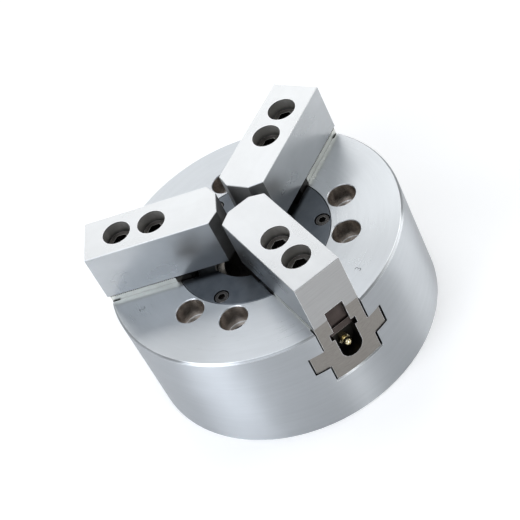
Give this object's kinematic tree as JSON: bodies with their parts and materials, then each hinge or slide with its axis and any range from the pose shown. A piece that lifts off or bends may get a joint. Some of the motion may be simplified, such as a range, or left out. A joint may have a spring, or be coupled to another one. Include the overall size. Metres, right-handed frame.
{
  "type": "lathe chuck",
  "caption": "Wedge-type power chuck for a lathe with soft top jaws on serrated master jaws, a centre cover, an open centre and a sliding wedge plunger.",
  "frame": {"origin": "centre of the rear mounting face, on the chuck's axis", "axes": "+Z along the chuck's axis towards the jaws, jaw 3 along -Y, jaw 1 at 30 degrees and jaw 2 at 150 degrees from +X"},
  "size_m": [0.21, 0.21, 0.128],
  "materials": {
    "body_steel": "satin ground",
    "cover_black": "black oxide, satin",
    "screw_black": "black oxide",
    "plunger_steel": "ground and oiled",
    "draw_nut_steel": "turned and oiled",
    "ring_steel": "black oxide",
    "ball_steel": "polished",
    "spring_steel": "drawn wire",
    "t_nut_black": "black oxide",
    "nipple_brass": "bright",
    "master_jaw_1_steel": "hardened and ground",
    "top_jaw_1_steel": "soft steel, surface ground",
    "master_jaw_2_steel": "hardened and ground",
    "top_jaw_2_steel": "soft steel, surface ground",
    "master_jaw_3_steel": "hardened and ground",
    "top_jaw_3_steel": "soft steel, surface ground"
  },
  "bodies": {
    "body": {"chuck_body": "body_steel", "centre_cover": "cover_black", "cover_screws": "screw_black"},
    "plunger": {"wedge_plunger": "plunger_steel", "draw_nut_retaining_ring": "ring_steel", "detent_ball": "ball_steel", "detent_spring": "spring_steel", "detent_set_screw": "screw_black"},
    "draw_nut": {"draw_nut": "draw_nut_steel"},
    "jaw_1": {"master_jaw_1": "master_jaw_1_steel", "t_nut_1": "t_nut_black", "soft_top_jaw_1": "top_jaw_1_steel", "top_jaw_bolts_1": "screw_black", "grease_nipple_1": "nipple_brass"},
    "jaw_2": {"master_jaw_2": "master_jaw_2_steel", "t_nut_2": "t_nut_black", "soft_top_jaw_2": "top_jaw_2_steel", "top_jaw_bolts_2": "screw_black", "grease_nipple_2": "nipple_brass"},
    "jaw_3": {"master_jaw_3": "master_jaw_3_steel", "t_nut_3": "t_nut_black", "soft_top_jaw_3": "top_jaw_3_steel", "top_jaw_bolts_3": "screw_black", "grease_nipple_3": "nipple_brass"}
  },
  "joints": [
    {"name": "plunger_slide", "type": "slide", "parent": "body", "child": "plunger", "axis": [0, 0, 1], "range_m": [-0.016, 0]},
    {"name": "jaw_1_slide", "type": "slide", "parent": "body", "child": "jaw_1", "axis": [0.866, 0.5, 0], "range_m": [-0.0037, 0]},
    {"name": "jaw_2_slide", "type": "slide", "parent": "body", "child": "jaw_2", "axis": [-0.866, 0.5, 0], "range_m": [-0.0037, 0]},
    {"name": "jaw_3_slide", "type": "slide", "parent": "body", "child": "jaw_3", "axis": [0, -1, 0], "range_m": [-0.0037, 0]},
    {"name": "draw_nut_turn", "type": "hinge", "parent": "plunger", "child": "draw_nut", "pos_m": [0, 0, 0.05], "axis": [0, 0, 1], "continuous": true}
  ],
  "couplings": [
    {"joint": "jaw_1_slide", "follows": "plunger_slide", "ratio": 0.23087},
    {"joint": "jaw_2_slide", "follows": "plunger_slide", "ratio": 0.23087},
    {"joint": "jaw_3_slide", "follows": "plunger_slide", "ratio": 0.23087}
  ]
}
